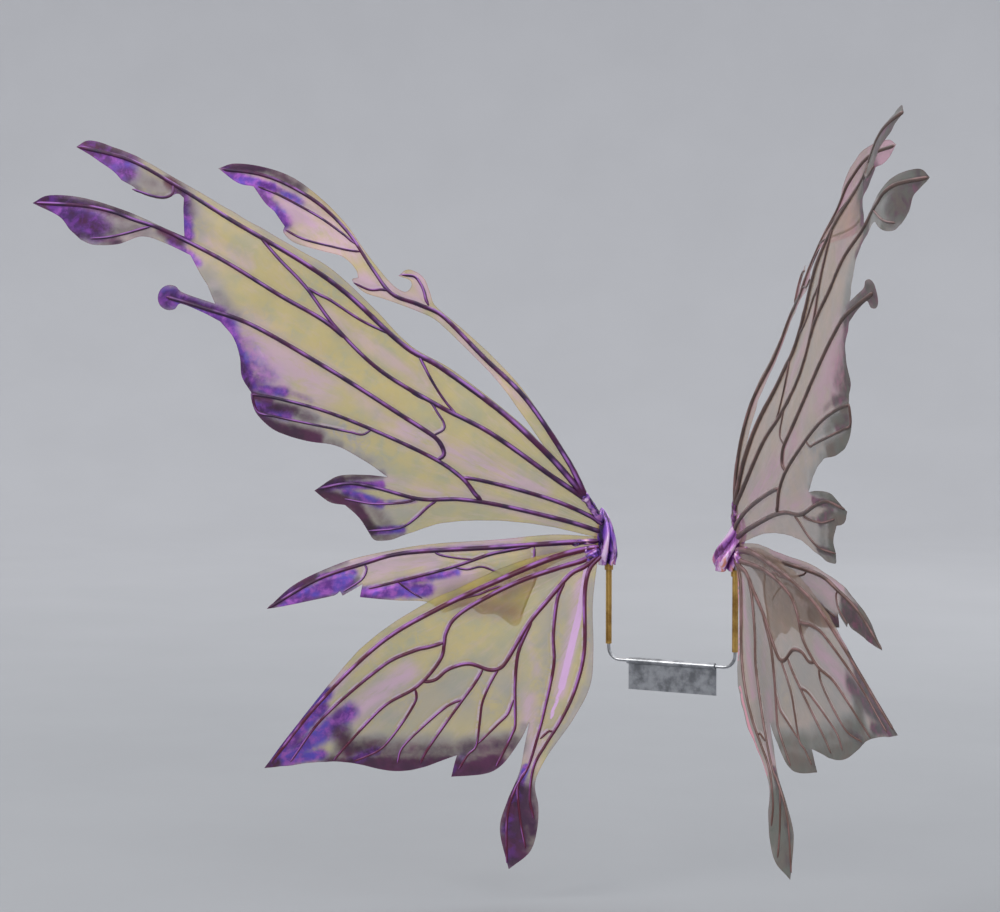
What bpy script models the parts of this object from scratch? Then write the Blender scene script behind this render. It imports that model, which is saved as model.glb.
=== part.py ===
"""Fairy wings: two film wing halves on plug-in stems, held by a tuck-in back yoke.

Frame: metres, +Z up, the wearer faces +Y, +X to the wearer's right as seen from the front view of
the back.  The origin is the centre of the back plate's flat face.
Flat patterns are drawn in millimetres from each wing root: u outward, h upward.
"""
import math

import bmesh
import bpy
from mathutils import Vector
from mathutils.geometry import delaunay_2d_cdt

MM = 0.001

# --- driving dimensions (mm) ---------------------------------------------------------------------
STEM_X = 81.0            # half the distance between the two wing roots
ROOT_Z = 157.0           # height of the wing roots above the origin
ROOT_Y = -3.9            # wing roots and yoke lie this far behind the back plate's face
FORE_SWEEP = 41.1        # degrees the forewing is swept back
MID_SWEEP = 44.1
HIND_SWEEP = 46.7
LEFT_FAN = 0.0           # degrees the hindwing is turned up in its own plane
RIGHT_FAN = 13.8
FILM_HALF = 0.25         # half the laminated film's thickness
WIRE_GAP = 1.2           # film skin to wire skin
END_GAP = 0.4            # clear gap where a wire stops short of another
HIND_LIFT = -4.0         # the hindwing film lies this far to the rear of its own plane
GRID = 22.0              # interior spacing of the film's mesh
WIRE_SIDES = 6
ROUND_SIDES = 14
CHORD_TOLERANCE = 0.55   # how far a simplified curve may leave the smooth one

STEM_RADIUS = 1.9
STEM_TOP = 0.0           # heights below are measured from the wing root
STEM_BOTTOM = -92.0
BORE_RADIUS = 2.3
SOCKET_RADIUS = 3.5
SOCKET_TOP = -36.0
SOCKET_BOTTOM = -122.0
COLLAR_RADIUS = 5.0
COLLAR_TOP = -28.4
COLLAR_BOTTOM = -35.6
KNOT_TOP = 37.0
KNOT_BOTTOM = -28.0
KNOT_RADIUS = 12.5
KNOT_BORE_TOP = 1.0

LEG_TOP = -100.0
YOKE_RADIUS = 1.9
YOKE_BEND = 14.0
BEND_STEPS = 5
PLATE_HALF_WIDTH = 56.0
PLATE_HEIGHT = 34.0
PLATE_THICK = 1.6
CURL_GAP = 0.4
CURL_ANGLE = 255.0       # degrees the plate's upper edge is rolled round the bar
CURL_STEPS = 12

SHARP = True

# --- flat patterns (mm) --------------------------------------------------------------------------
# A third entry marks a sharp corner; all the other points lie on a smooth curve.
FORE_OUTLINE = [
    (18, 33, SHARP), (31, 58), (63, 112), (98, 167), (132, 207), (167, 240), (199, 268), (205, 284),
    (213, 301), (230, 309), (242, 302, SHARP), (229, 297), (227, 290), (235, 284), (250, 293),
    (276, 327), (299, 362), (328, 391), (362, 416), (397, 429), (431, 434), (450, 429, SHARP),
    (426, 412), (407, 407, SHARP), (393, 388), (382, 378, SHARP), (369, 361, SHARP), (370, 354),
    (357, 342), (328, 332), (305, 324), (291, 309), (289, 301, SHARP), (296, 298), (282, 284),
    (259, 276), (221, 262), (199, 251), (167, 221), (132, 184), (101, 141), (77, 106, SHARP),
    (98, 128), (138, 162), (184, 197), (230, 224), (276, 271), (322, 313), (380, 347), (437, 380),
    (497, 414), (541, 440), (582, 457), (602, 461), (616, 454, SHARP), (596, 442), (575, 427),
    (564, 415, SHARP), (551, 408, SHARP), (538, 398), (515, 393), (500, 399), (492, 394, SHARP),
    (493, 367), (493, 351, SHARP), (514, 360), (558, 380), (610, 397), (650, 401), (669, 393, SHARP),
    (638, 377), (626, 362, SHARP), (613, 350, SHARP), (598, 344), (570, 344), (543, 352), (518, 345),
    (486, 330, SHARP), (476, 311), (466, 296, SHARP), (457, 275, SHARP), (483, 284), (497, 290),
    (503, 296), (512, 297), (520, 292), (523, 283), (520, 274), (512, 269), (503, 270), (497, 276),
    (472, 266), (451, 255, SHARP), (436, 237), (428, 215), (425, 192), (414, 174, SHARP), (413, 163),
    (406, 148), (385, 130), (351, 118), (316, 112), (282, 94), (255, 75, SHARP), (285, 78),
    (313, 76), (338, 60, SHARP), (321, 47), (302, 43, SHARP), (285, 28), (273, 10, SHARP), (265, 1),
    (247, 2), (224, 10), (190, 20), (150, 23), (104, 21), (63, 14), (18, 4, SHARP)]

MID_OUTLINE = [
    (19, 1, SHARP), (63, 6), (127, 1), (196, -3), (241, -9), (299, -22), (357, -47), (393, -77, SHARP),
    (374, -74), (314, -62), (307, -57, SHARP), (304, -62, SHARP), (293, -56), (281, -49, SHARP),
    (284, -64, SHARP), (241, -68), (207, -70), (187, -83, SHARP), (161, -75), (145, -84), (127, -85),
    (108, -98), (99, -92), (92, -67), (69, -32), (19, -10, SHARP)]

HIND_OUTLINE = [
    (24, -8, SHARP), (81, -17), (127, -31), (172, -51), (213, -69), (276, -109), (322, -159),
    (368, -219), (397, -261, SHARP), (368, -259), (333, -255), (299, -255), (247, -265), (213, -261),
    (173, -246, SHARP), (176, -257), (179, -271, SHARP), (144, -267), (124, -256), (104, -228),
    (94, -207, SHARP), (99, -233), (105, -264), (118, -297), (126, -330), (117, -375, SHARP),
    (95, -354), (87, -329), (85, -302), (88, -275), (75, -245), (46, -202), (27, -165), (22, -124),
    (21, -70), (24, -24, SHARP)]

# Each wire: name, root radius, tip radius, flat path from the root outward (mm).
FORE_WIRES = [
    ("spar_leading", 2.1, 1.1,
     [(31, 48), (44, 66), (75, 100), (127, 148), (196, 199), (228, 217), (253, 237), (305, 285),
      (357, 322), (437, 369), (499, 407), (552, 437), (604, 452)]),
    ("spar_streamer", 1.9, 1.0,
     [(30, 54), (52, 93), (98, 161), (144, 208), (190, 255), (218, 269), (250, 282), (271, 310),
      (297, 352), (328, 383), (366, 407), (402, 421), (437, 425)]),
    ("spar_lower", 2.0, 1.0,
     [(19, 13), (58, 24), (127, 41), (172, 48), (217, 49), (265, 62), (299, 68), (328, 64)]),
    ("wire_hook", 1.3, 0.9, [(210, 271), (212, 284), (221, 299), (236, 304)]),
    ("wire_median", 1.7, 1.0,
     [(37, 52), (69, 74), (138, 123), (196, 154), (265, 196), (316, 245), (351, 292), (397, 344)]),
    ("wire_finger", 1.4, 0.9,
     [(311, 237), (357, 269), (414, 304), (483, 344), (537, 365), (575, 380), (610, 388), (656, 392)]),
    ("wire_trailing", 1.7, 0.9,
     [(148, 48), (169, 72), (200, 94), (264, 125), (328, 151), (385, 167), (411, 171)]),
    ("wire_knob", 1.4, 1.0,
     [(200, 98), (191, 107), (205, 122), (242, 146), (322, 197), (414, 250), (472, 271), (506, 281)]),
    ("wire_inner", 1.6, 1.3, [(21, 26), (58, 43), (104, 58), (150, 70), (167, 74)])]

MID_WIRES = [
    ("wire_mid_upper", 1.7, 1.0,
     [(20, -3), (58, -4), (127, -8), (213, -12), (278, -25), (333, -43), (385, -74)]),
    ("wire_mid_lower", 1.3, 0.9, [(92, -9), (138, -17), (173, -29), (219, -41), (274, -54)])]

HIND_WIRES = [
    ("wire_hind_front", 1.8, 1.0,
     [(40, -13), (69, -21), (115, -39), (196, -75), (265, -115), (334, -182), (389, -254)]),
    ("wire_hind_main", 1.8, 0.9,
     [(31, -23), (58, -31), (104, -46), (150, -68), (178, -87), (190, -110), (193, -133), (224, -169),
      (259, -190), (305, -241)]),
    ("wire_hind_fork", 1.3, 0.9, [(191, -118), (224, -124), (259, -140), (328, -200), (360, -245)]),
    ("wire_hind_centre", 1.6, 1.0,
     [(28, -30), (46, -39), (71, -67), (94, -95), (118, -136), (138, -147), (161, -140), (184, -146),
      (213, -160)]),
    ("wire_hind_drop", 1.3, 0.9, [(94, -99), (106, -130), (109, -164), (109, -210), (129, -254)]),
    ("wire_hind_inner", 1.7, 0.9,
     [(24, -33), (31, -101), (43, -168), (76, -231), (92, -268), (92, -300)]),
    ("wire_hind_streamer", 1.4, 0.9,
     [(58, -55), (66, -107), (68, -159), (84, -220), (95, -256), (109, -282), (118, -314),
      (120, -360)])]

FORE_FERRULE = [(17.5, 28), (27, 44)]
HIND_FERRULE = [(17.5, -15), (24, -20)]
FERRULE_RADIUS = 2.6


# Local bends of the forewing: centre (u, h), reach and depth (mm, minus is to the rear).
FORE_BENDS = [(520, 400, 110, -17), (340, 300, 90, -7), (665, 393, 50, 8), (520, 280, 60, 6),
              (450, 300, 50, -5), (235, 305, 40, -6), (150, 215, 60, 5)]
LEAF_BASE = (290, 340)   # where the streamer's leaf begins to twist about its own rib
LEAF_ANGLE = 29.4        # the rib's slope in the flat pattern (degrees)
LEAF_SHIFT = 8.0         # lift (mm) of the leaf's middle once it is fully twisted
LEAF_TWIST = -0.85       # rise across the leaf once it is fully twisted
LEAF_RAMP = 70.0
LEAF_EDGE = -32.0        # the slit: nothing below this offset belongs to the leaf
# Local twists: centre along, centre across, reach along, reach across, depth (mm).
FORE_TWISTS = [(95, -40, 120, 38, -15.5), (205, -94, 85, 32, 8), (195, 4, 55, 60, 16),
               (12, 14, 50, 50, -5), (290, -60, 90, 34, -8)]
TWIST_SLIP = 0.19        # how far a twist of 1 mm draws the film inwards


# --- surfaces ------------------------------------------------------------------------------------
def smooth_step(t):
    t = max(0.0, min(1.0, t))
    return t * t * (3 - 2 * t)


def leaf_frame(u, h):
    """Distances along and across the streamer leaf's own rib (mm)."""
    cos, sin = math.cos(math.radians(LEAF_ANGLE)), math.sin(math.radians(LEAF_ANGLE))
    along = (u - LEAF_BASE[0]) * cos + (h - LEAF_BASE[1]) * sin
    across = (h - LEAF_BASE[1]) * cos - (u - LEAF_BASE[0]) * sin
    return along, across


def fore_twist(u, h):
    """Local twists of the forewing's outer half (mm), laid out in the streamer leaf's frame."""
    along, across = leaf_frame(u, h)
    return sum(depth * math.exp(-((along - centre_along) / reach_along) ** 2
                                - ((across - centre_across) / reach_across) ** 2)
               for centre_along, centre_across, reach_along, reach_across, depth in FORE_TWISTS)


def no_twist(u, h):
    return 0.0


def fore_camber(r, v, u, h):
    """Height of the forewing above its swept plane (mm); r and v in decimetres."""
    height = (-34.1 * v - 4.5 * r * r + 2.3 * r * v + 10.6 * v * v
              + 1.24 * r ** 3 - 2.71 * r * r * v + 0.95 * r * v * v)
    for centre_u, centre_h, reach, depth in FORE_BENDS:
        height += depth * math.exp(-((u - centre_u) ** 2 + (h - centre_h) ** 2) / reach ** 2)
    along, across = leaf_frame(u, h)
    if across > LEAF_EDGE:
        height += (LEAF_SHIFT + LEAF_TWIST * across) * smooth_step(along / LEAF_RAMP)
    return height


def hind_camber(r, v, u, h):
    return (HIND_LIFT + 9.4 * v - 1.3 * r * r - 9.4 * r * v - 1.1 * v * v
            - 0.61 * r ** 3 - 0.18 * r * r * v + 0.3 * r * v * v)


def flat_camber(r, v, u, h):
    return 0.0


class Panel:
    """One film panel: its flat pattern carried onto a swept, cambered surface."""

    def __init__(self, side, sweep, camber, twist=no_twist, fan=0.0):
        self.side = side
        self.sweep = math.radians(sweep)
        self.fan = math.radians(fan)
        self.camber = camber
        self.twist = twist

    def point(self, u, h, lift=0.0):
        """World position (m) of the flat point, raised by lift mm along the rear-facing normal."""
        if lift:
            return self.point(u, h) + self.normal(u, h) * (lift * MM)
        r = u * (1.08 - 0.00014 * u)
        v = h * (1.03 - 0.000125 * u) + 0.012 * u
        shift = self.twist(u, h)
        c = self.camber(r / 100.0, v / 100.0, u, h) + shift
        out = r * math.cos(self.fan) - v * math.sin(self.fan) - TWIST_SLIP * shift
        up = r * math.sin(self.fan) + v * math.cos(self.fan)
        x = STEM_X + out * math.cos(self.sweep) + c * math.sin(self.sweep)
        y = -out * math.sin(self.sweep) + c * math.cos(self.sweep)
        return Vector((self.side * x, y + ROOT_Y, up + ROOT_Z)) * MM

    def normal(self, u, h):
        """Unit normal facing the rear (the side the wires lie on)."""
        step = 0.5
        along = self.point(u + step, h) - self.point(u - step, h)
        upward = self.point(u, h + step) - self.point(u, h - step)
        normal = along.cross(upward).normalized()
        return -normal if normal.y > 0 else normal


# --- curves --------------------------------------------------------------------------------------
def smooth_curve(points, closed):
    """Dense points on a curve through the given ones, cornering at the sharp ones."""
    count = len(points)
    flat = [Vector(p[:2]) for p in points]
    sharp = [len(p) > 2 for p in points]

    def tangent(i, j):
        """Slope at point i for the span towards its neighbour j (j = i + 1 or i - 1)."""
        before, after = i - 1, i + 1
        if sharp[i] or (not closed and (before < 0 or after >= count)):
            return (flat[j % count] - flat[i]) * (1 if j > i else -1)
        return (flat[after % count] - flat[before % count]) * 0.5

    curve = []
    for i in range(count if closed else count - 1):
        j = (i + 1) % count
        start, end = flat[i], flat[j]
        t0 = tangent(i, i + 1)
        t1 = tangent(j, j - 1) if j else tangent(0, -1)
        length = (end - start).length
        t0 = t0 * min(1.0, 1.2 * length / max(t0.length, 1e-6))
        t1 = t1 * min(1.0, 1.2 * length / max(t1.length, 1e-6))
        steps = max(2, int(length / 3.0))
        for k in range(steps):
            t = k / steps
            a = (1 + 2 * t) * (1 - t) ** 2
            b = t * (1 - t) ** 2
            c = t * t * (3 - 2 * t)
            d = t * t * (t - 1)
            curve.append(start * a + t0 * b + end * c + t1 * d)
    if not closed:
        curve.append(flat[-1])
    return curve


def simplify(points, tolerance):
    """Fewest points that stay within the tolerance of the dense curve."""
    if len(points) < 3:
        return list(points)
    start, end = points[0], points[-1]
    chord = end - start
    worst, index = -1.0, 0
    for i in range(1, len(points) - 1):
        offset = points[i] - start
        if chord.length < 1e-6:
            gap = offset.length
        else:
            along = max(0.0, min(1.0, offset.dot(chord) / chord.length_squared))
            gap = (offset - chord * along).length
        if gap > worst:
            worst, index = gap, i
    if worst <= tolerance:
        return [start, end]
    return simplify(points[:index + 1], tolerance)[:-1] + simplify(points[index:], tolerance)


def closed_outline(points):
    dense = smooth_curve(points, closed=True)
    half = len(dense) // 2
    first = simplify(dense[:half + 1], CHORD_TOLERANCE)
    second = simplify(dense[half:] + dense[:1], CHORD_TOLERANCE)
    return first[:-1] + second[:-1]


def inside(point, outline):
    result = False
    for i, a in enumerate(outline):
        b = outline[i - 1]
        if (a.y > point.y) != (b.y > point.y):
            if point.x < (b.x - a.x) * (point.y - a.y) / (b.y - a.y) + a.x:
                result = not result
    return result


def distance_to_path(point, path):
    best = 1e9
    for a, b in zip(path, path[1:]):
        chord = b - a
        t = max(0.0, min(1.0, (point - a).dot(chord) / max(chord.length_squared, 1e-9)))
        best = min(best, (point - a - chord * t).length)
    return best


# --- mesh helpers --------------------------------------------------------------------------------
def material(name, color, roughness, metallic=0.0):
    mat = bpy.data.materials.get(name)
    if mat is None:
        mat = bpy.data.materials.new(name)
        mat.use_nodes = True
        shader = mat.node_tree.nodes["Principled BSDF"]
        shader.inputs["Base Color"].default_value = (*color, 1.0)
        shader.inputs["Roughness"].default_value = roughness
        shader.inputs["Metallic"].default_value = metallic
    return mat


def film_paint():
    return material("film", (0.55, 0.50, 0.36), 0.25)


def wire_paint():
    return material("wire_paint", (0.10, 0.03, 0.10), 0.35)


def wrap_film():
    return material("wrap_film", (0.45, 0.22, 0.62), 0.2)


def steel():
    return material("spring_steel", (0.45, 0.46, 0.48), 0.3, 1.0)


def brass():
    return material("brass", (0.72, 0.53, 0.22), 0.3, 1.0)


def make_object(name, vertices, faces, mat, origin, smooth):
    """A mesh object whose origin is at the given world point (m)."""
    mesh = bpy.data.meshes.new(name)
    mesh.from_pydata([tuple(Vector(v) - origin) for v in vertices], [], faces)
    mesh.validate()
    bm = bmesh.new()
    bm.from_mesh(mesh)
    bmesh.ops.recalc_face_normals(bm, faces=bm.faces)
    bm.to_mesh(mesh)
    bm.free()
    for polygon in mesh.polygons:
        polygon.use_smooth = smooth
    obj = bpy.data.objects.new(name, mesh)
    obj.location = origin
    obj.data.materials.append(mat)
    bpy.context.collection.objects.link(obj)
    return obj


def film_body(name, panel, outline_points, origin):
    """A thin closed sheet filling the outline."""
    outline = closed_outline(outline_points)
    flat = list(outline)
    left = min(p.x for p in outline)
    right = max(p.x for p in outline)
    low = min(p.y for p in outline)
    high = max(p.y for p in outline)
    border = outline + outline[:1]
    for row in range(int((high - low) / GRID) + 1):
        for column in range(int((right - left) / GRID) + 1):
            shift = 0.5 if row % 2 else 0.0
            point = Vector((left + (column + shift) * GRID, low + row * GRID))
            if inside(point, outline) and distance_to_path(point, border) > 0.3 * GRID:
                flat.append(point)
    edges = [(i, (i + 1) % len(outline)) for i in range(len(outline))]
    points, _, triangles, _, _, _ = delaunay_2d_cdt(flat, edges, [], 1, 1e-5)
    triangles = [t for t in triangles
                 if inside((points[t[0]] + points[t[1]] + points[t[2]]) / 3.0, outline)]
    count = len(points)
    vertices = [panel.point(p.x, p.y, FILM_HALF) for p in points]
    vertices += [panel.point(p.x, p.y, -FILM_HALF) for p in points]
    faces = [tuple(t) for t in triangles] + [tuple(i + count for i in reversed(t)) for t in triangles]
    border_edges = {}
    for t in triangles:
        for a, b in zip(t, t[1:] + t[:1]):
            border_edges[(a, b)] = border_edges.get((a, b), 0) + 1
    for a, b in border_edges:
        if (b, a) not in border_edges:
            faces.append((b, a, a + count, b + count))
    return make_object(name, vertices, faces, film_paint(), origin, False)


def tube(name, centres, radii, sides, mat, origin):
    """A capped round tube along the centre line."""
    vertices, faces = [], []
    across = None
    for i, centre in enumerate(centres):
        ahead = centres[min(i + 1, len(centres) - 1)]
        behind = centres[max(i - 1, 0)]
        along = (ahead - behind).normalized()
        if across is None:
            across = along.orthogonal().normalized()
        across = (across - along * across.dot(along)).normalized()
        third = along.cross(across)
        for k in range(sides):
            angle = 2 * math.pi * k / sides
            vertices.append(centre + (across * math.cos(angle) + third * math.sin(angle)) * radii[i])
    for i in range(len(centres) - 1):
        for k in range(sides):
            n = (k + 1) % sides
            faces.append((i * sides + k, i * sides + n, (i + 1) * sides + n, (i + 1) * sides + k))
    faces.append(tuple(reversed(range(sides))))
    last = (len(centres) - 1) * sides
    faces.append(tuple(last + k for k in range(sides)))
    obj = make_object(name, vertices, faces, mat, origin, True)
    flatten_caps(obj, sides)
    return obj


def flatten_caps(obj, sides):
    for polygon in obj.data.polygons:
        if len(polygon.vertices) == sides and sides != 4:
            polygon.use_smooth = False


def lathe(name, profile, axis_x, mat, origin):
    """A solid turned about the vertical stem axis; the profile is a closed (radius, height) loop."""
    vertices, faces = [], []
    for k in range(ROUND_SIDES):
        angle = 2 * math.pi * k / ROUND_SIDES
        for radius, height in profile:
            vertices.append(Vector((axis_x + radius * math.cos(angle),
                                    ROOT_Y + radius * math.sin(angle),
                                    ROOT_Z + height)) * MM)
    count = len(profile)
    for k in range(ROUND_SIDES):
        n = (k + 1) % ROUND_SIDES
        for i in range(count):
            j = (i + 1) % count
            if profile[i][0] > 0 or profile[j][0] > 0:
                faces.append((k * count + i, k * count + j, n * count + j, n * count + i))
    obj = make_object(name, vertices, faces, mat, origin, True)
    bm = bmesh.new()
    bm.from_mesh(obj.data)
    bmesh.ops.remove_doubles(bm, verts=bm.verts, dist=1e-7)
    bmesh.ops.recalc_face_normals(bm, faces=bm.faces)
    for edge in bm.edges:
        if len(edge.link_faces) == 2 and edge.calc_face_angle() > math.radians(40):
            edge.smooth = False
    bm.to_mesh(obj.data)
    bm.free()
    return obj


# --- sub-parts -----------------------------------------------------------------------------------
def trimmed_wire(path, radius, taken):
    """Shorten the path's ends until they clear every wire already laid."""
    dense = smooth_curve(path, closed=False)
    fine = []
    for a, b in zip(dense, dense[1:]):
        fine += [a, (a + b) / 2]
    fine.append(dense[-1])

    def clear(point):
        return all(distance_to_path(point, other) > radius + other_radius + END_GAP
                   for other, other_radius in taken)

    while len(fine) > 3 and not clear(fine[0]):
        fine.pop(0)
    while len(fine) > 3 and not clear(fine[-1]):
        fine.pop()
    return fine


def lay_wires(prefix, panel, wires, taken, origin):
    """Wires lying on the rear skin of the film, each stopping short of the ones before it."""
    for name, root_radius, tip_radius, path in wires:
        fine = trimmed_wire(path, root_radius, taken)
        taken.append((fine, root_radius))
        kept = simplify(fine, CHORD_TOLERANCE)
        kept = split_long(kept, 2.0 * GRID)
        total = sum((b - a).length for a, b in zip(kept, kept[1:]))
        run, centres, radii = 0.0, [], []
        for i, p in enumerate(kept):
            if i:
                run += (p - kept[i - 1]).length
            radius = root_radius + (tip_radius - root_radius) * run / total
            radii.append(radius * MM)
            centres.append(panel.point(p.x, p.y, FILM_HALF + WIRE_GAP + radius))
        tube(prefix + name, centres, radii, WIRE_SIDES, wire_paint(), origin)


def split_long(points, longest):
    """Extra points on long straight runs, so that a wire follows the panel's camber."""
    result = [points[0]]
    for a, b in zip(points, points[1:]):
        pieces = max(1, math.ceil((b - a).length / longest))
        result += [a + (b - a) * (k / pieces) for k in range(1, pieces + 1)]
    return result


def ferrule(name, panel, ends, origin):
    """Crimp barrel where the stem wires are gathered."""
    lift = FILM_HALF + WIRE_GAP + FERRULE_RADIUS
    start, end = Vector(ends[0]), Vector(ends[1])
    centres = [panel.point(p.x, p.y, lift) for p in (start, end)]
    tube(name, centres, [FERRULE_RADIUS * MM] * 2, ROUND_SIDES, brass(), origin)
    return ([start, end], FERRULE_RADIUS)


def root_knot(prefix, axis_x, origin):
    """Film wrapped in an oval knot round the top of the stem, with a blind bore for the stem."""
    middle = (KNOT_TOP + KNOT_BOTTOM) / 2
    half = (KNOT_TOP - KNOT_BOTTOM) / 2
    stations = (-1.0, -0.86, -0.6, -0.25, 0.1, 0.45, 0.75, 0.93)
    profile = [(0.0, KNOT_BORE_TOP), (BORE_RADIUS, KNOT_BORE_TOP), (BORE_RADIUS, KNOT_BOTTOM)]
    for t in stations:
        swell = math.sqrt(max(0.0, 1.0 - abs(t) ** 2.4))
        profile.append((max(6.0 if t < 0 else 3.0, KNOT_RADIUS * swell), middle + half * t))
    profile.append((0.0, KNOT_TOP))
    lathe(prefix + "root_knot", profile, axis_x, wrap_film(), origin)


def stem_hardware(prefix, axis_x, origin):
    stem = [(0.0, STEM_BOTTOM), (STEM_RADIUS, STEM_BOTTOM), (STEM_RADIUS, STEM_TOP), (0.0, STEM_TOP)]
    lathe(prefix + "stem", stem, axis_x, steel(), origin)
    collar = [(BORE_RADIUS, COLLAR_BOTTOM), (COLLAR_RADIUS, COLLAR_BOTTOM),
              (COLLAR_RADIUS, COLLAR_TOP), (BORE_RADIUS, COLLAR_TOP)]
    lathe(prefix + "collar", collar, axis_x, brass(), origin)
    socket = [(BORE_RADIUS, SOCKET_BOTTOM), (SOCKET_RADIUS, SOCKET_BOTTOM),
              (SOCKET_RADIUS, SOCKET_TOP), (BORE_RADIUS, SOCKET_TOP)]
    lathe(prefix + "socket", socket, axis_x, brass(), origin)


def wing_half(side, fan):
    """One wing half with its films, wires, knot, stem and socket."""
    prefix = "left_" if side < 0 else "right_"
    axis_x = side * STEM_X
    origin = Vector((axis_x, ROOT_Y, ROOT_Z)) * MM
    fore = Panel(side, FORE_SWEEP, fore_camber, fore_twist)
    mid = Panel(side, MID_SWEEP, flat_camber)
    hind = Panel(side, HIND_SWEEP, hind_camber, fan=fan)
    film_body(prefix + "film_fore", fore, FORE_OUTLINE, origin)
    film_body(prefix + "film_mid", mid, MID_OUTLINE, origin)
    film_body(prefix + "film_hind", hind, HIND_OUTLINE, origin)
    lay_wires(prefix, fore, FORE_WIRES, [ferrule(prefix + "ferrule_fore", fore, FORE_FERRULE, origin)],
              origin)
    lay_wires(prefix, mid, MID_WIRES, [], origin)
    lay_wires(prefix, hind, HIND_WIRES, [ferrule(prefix + "ferrule_hind", hind, HIND_FERRULE, origin)],
              origin)
    root_knot(prefix, axis_x, origin)
    stem_hardware(prefix, axis_x, origin)


def yoke():
    """U-shaped spring rod joining the two sockets low on the back."""
    top = ROOT_Z + LEG_TOP
    bar = PLATE_HEIGHT / 2
    centres = [Vector((-STEM_X, ROOT_Y, top)), Vector((-STEM_X, ROOT_Y, bar + YOKE_BEND))]
    for k in range(1, BEND_STEPS + 1):
        angle = math.pi / 2 * k / BEND_STEPS
        centres.append(Vector((-STEM_X + YOKE_BEND * (1 - math.cos(angle)), ROOT_Y,
                               bar + YOKE_BEND * (1 - math.sin(angle)))))
    centres += [Vector((-c.x, c.y, c.z)) for c in reversed(centres)]
    tube("yoke", [c * MM for c in centres], [YOKE_RADIUS * MM] * len(centres), ROUND_SIDES, steel(),
         Vector((0, ROOT_Y, bar)) * MM)


def back_plate():
    """Flat spring plate curled round the yoke's bar; its front face lies against the back."""
    inner = YOKE_RADIUS + CURL_GAP
    outer = inner + PLATE_THICK
    low = -PLATE_HEIGHT / 2
    high = PLATE_HEIGHT / 2
    loop = [(0.0, high), (0.0, low), (-PLATE_THICK, low), (-PLATE_THICK, high)]
    curl = [math.radians(CURL_ANGLE) * k / CURL_STEPS for k in range(1, CURL_STEPS + 1)]
    loop += [(ROOT_Y + inner * math.cos(a), high + inner * math.sin(a)) for a in curl]
    loop += [(ROOT_Y + outer * math.cos(a), high + outer * math.sin(a)) for a in reversed(curl)]
    count = len(loop)
    vertices = []
    for x in (-PLATE_HALF_WIDTH, PLATE_HALF_WIDTH):
        vertices += [Vector((x, y, z)) * MM for y, z in loop]
    faces = [tuple(range(count)), tuple(reversed(range(count, 2 * count)))]
    for i in range(count):
        j = (i + 1) % count
        faces.append((j, i, i + count, j + count))
    make_object("back_plate", vertices, faces, steel(), Vector((0, 0, 0)), False)


def main():
    for obj in list(bpy.data.objects):
        bpy.data.objects.remove(obj, do_unlink=True)
    wing_half(-1, LEFT_FAN)
    wing_half(1, RIGHT_FAN)
    yoke()
    back_plate()


main()
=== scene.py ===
"""Looks of the fairy wings: iridescent film, painted veins, wrapped roots, studio and camera.

Flat patterns are in millimetres from each wing root (u outward, h upward) and are the same ones
that the CAD model is made from; Panel.point() carries them onto the swept, cambered panels.
"""
import math

import bmesh
import bpy
import numpy as np
from mathutils import Matrix, Vector, kdtree, noise
from mathutils.geometry import delaunay_2d_cdt


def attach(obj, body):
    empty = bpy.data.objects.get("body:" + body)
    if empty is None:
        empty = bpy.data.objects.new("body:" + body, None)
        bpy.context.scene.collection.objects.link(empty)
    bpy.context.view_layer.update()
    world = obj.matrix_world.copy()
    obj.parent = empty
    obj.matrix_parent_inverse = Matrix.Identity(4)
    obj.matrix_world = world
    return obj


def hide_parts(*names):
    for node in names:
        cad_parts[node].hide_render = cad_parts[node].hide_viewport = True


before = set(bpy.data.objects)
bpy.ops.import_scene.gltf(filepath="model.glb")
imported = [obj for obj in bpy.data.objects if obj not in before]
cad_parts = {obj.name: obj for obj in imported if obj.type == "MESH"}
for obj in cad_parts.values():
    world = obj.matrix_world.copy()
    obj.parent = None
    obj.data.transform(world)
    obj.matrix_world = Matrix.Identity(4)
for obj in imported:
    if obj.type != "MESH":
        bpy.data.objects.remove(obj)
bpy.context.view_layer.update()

MM = 0.001
ROOT = Vector((0.0, -3.9, 157.0))      # midpoint between the wing roots (mm)
STEM_X = 81.0
FORE_SWEEP, MID_SWEEP, HIND_SWEEP = 41.1, 44.1, 46.7
FAN = {"left": 0.0, "right": 13.8}
SIDES = {"left": -1, "right": 1}
HIND_LIFT = -4.0

FILM_CELL = 3.4          # film mesh cell (mm)
EDGE_STEP = 2.6          # outline step (mm)
VEIN_STEP = 3.0          # rib step (mm)
NEAR_STEP = 1.0          # step of the curves that distances are taken to (mm)
VEIN_SIDES = 12
FILM_COVER, INK_COVER = 0.66, 0.97       # opacity of the clear film and of the inked film

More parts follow.
